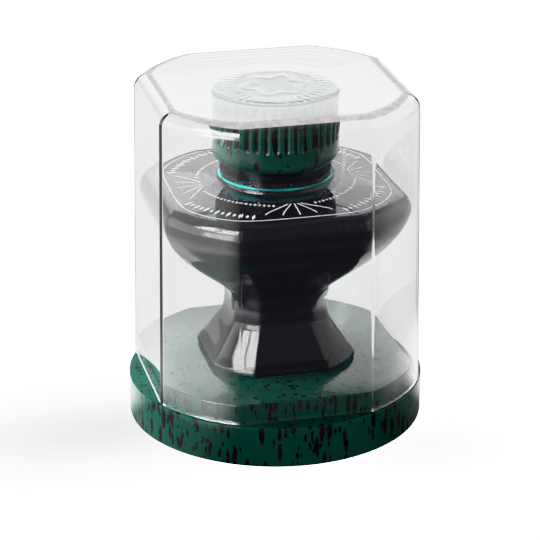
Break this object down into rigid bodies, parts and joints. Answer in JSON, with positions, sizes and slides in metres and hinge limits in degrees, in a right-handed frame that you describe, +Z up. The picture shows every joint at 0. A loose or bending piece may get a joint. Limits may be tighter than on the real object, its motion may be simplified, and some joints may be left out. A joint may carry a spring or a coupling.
{
  "type": "inkwell",
  "caption": "Pedestal ink bottle with a fluted screw cap, on a round flecked base under a clear faceted lift-off cover.",
  "frame": {"origin": "centre of the base's underside", "axes": "+Z up along the axis of the base, bottle, cap and cover; -Y towards the front flats"},
  "size_m": [0.075, 0.075, 0.0871],
  "materials": {
    "flecked_plastic": "polished green plastic with dark flecks",
    "bottle_glass": "clear polished glass",
    "ink": "nearly black liquid",
    "liner_foam": "soft white foam",
    "clear_plastic": "clear polished plastic"
  },
  "bodies": {
    "base": {"display_base": "flecked_plastic"},
    "bottle": {"ink_bottle": "bottle_glass", "ink_fill": "ink"},
    "liner": {"cap_liner": "liner_foam"},
    "cap": {"screw_cap": "flecked_plastic"},
    "cover": {"clear_cover": "clear_plastic"}
  },
  "joints": [
    {"name": "bottle_lift", "type": "slide", "parent": "base", "child": "bottle", "axis": [0, 0, 1], "range_m": [0, 0.05]},
    {"name": "cap_rise", "type": "slide", "parent": "bottle", "child": "liner", "axis": [0, 0, 1], "range_m": [0, 0.0088]},
    {"name": "cap_turn", "type": "hinge", "parent": "liner", "child": "cap", "pos_m": [0, 0, 0.0684], "axis": [0, 0, 1], "range_deg": [0, 900]},
    {"name": "cover_lift", "type": "slide", "parent": "liner", "child": "cover", "axis": [0, 0, 1], "range_m": [0, 0.1]}
  ],
  "couplings": [
    {"joint": "cap_rise", "follows": "cap_turn", "m_per_rad": 0.00055704}
  ]
}
